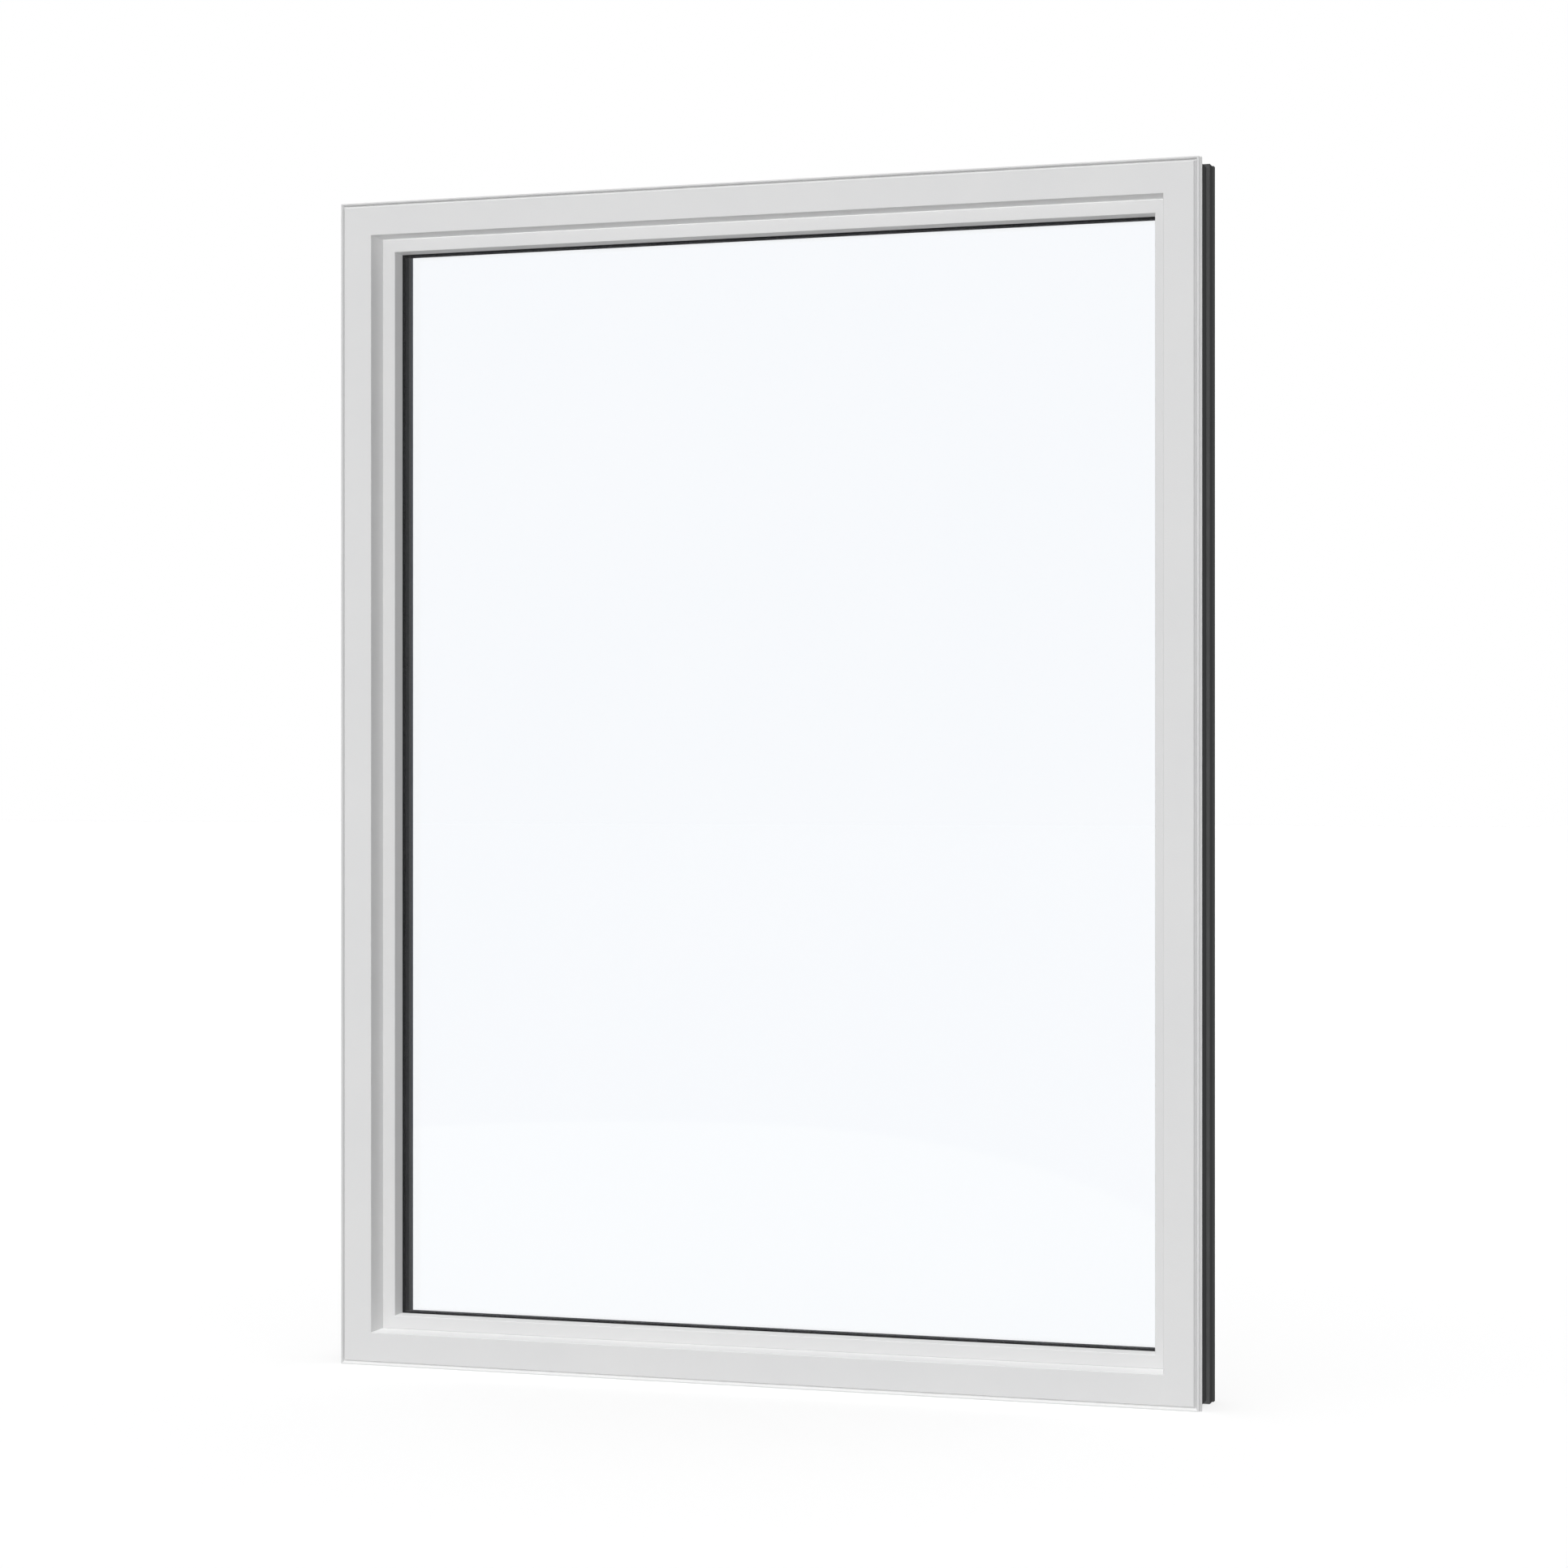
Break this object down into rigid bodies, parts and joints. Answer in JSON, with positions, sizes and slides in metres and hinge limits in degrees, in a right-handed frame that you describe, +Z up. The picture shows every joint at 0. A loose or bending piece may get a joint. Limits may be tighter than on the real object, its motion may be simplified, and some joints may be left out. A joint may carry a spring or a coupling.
{
  "type": "fixed picture window",
  "caption": "Fixed picture window: pale painted aluminium frame with a stepped, mitred face and grooved rim, dark core with a room-side flange, sealed double glazing in black gaskets.",
  "frame": {"origin": "middle of the underside of the frame's room-side flange, where the sill bears on the opening", "axes": "+X to the right seen from the weather side, +Y from the weather side to the room, +Z up"},
  "size_m": [1.188, 0.109, 1.588],
  "materials": {
    "light_painted_aluminium": "fine satin powder coat, very light grey",
    "dark_frame_core": "matt charcoal grey",
    "black_gasket": "matt black",
    "black_spacer": "satin black",
    "edge_sealant": "matt black",
    "clear_glass": "clear float",
    "setting_block": "plain"
  },
  "bodies": {
    "root": {"head_cladding": "light_painted_aluminium", "sill_cladding": "light_painted_aluminium", "left_cladding": "light_painted_aluminium", "right_cladding": "light_painted_aluminium", "head_glazing_stop": "light_painted_aluminium", "sill_glazing_stop": "light_painted_aluminium", "left_glazing_stop": "light_painted_aluminium", "right_glazing_stop": "light_painted_aluminium", "head_core": "dark_frame_core", "sill_core": "dark_frame_core", "left_core": "dark_frame_core", "right_core": "dark_frame_core", "head_outer_gasket": "black_gasket", "sill_outer_gasket": "black_gasket", "left_outer_gasket": "black_gasket", "right_outer_gasket": "black_gasket", "head_inner_gasket": "black_gasket", "sill_inner_gasket": "black_gasket", "left_inner_gasket": "black_gasket", "right_inner_gasket": "black_gasket", "head_spacer": "black_spacer", "sill_spacer": "black_spacer", "left_spacer": "black_spacer", "right_spacer": "black_spacer", "head_edge_seal": "edge_sealant", "sill_edge_seal": "edge_sealant", "left_edge_seal": "edge_sealant", "right_edge_seal": "edge_sealant", "outer_pane": "clear_glass", "inner_pane": "clear_glass", "left_setting_block": "setting_block", "right_setting_block": "setting_block"}
  },
  "joints": []
}
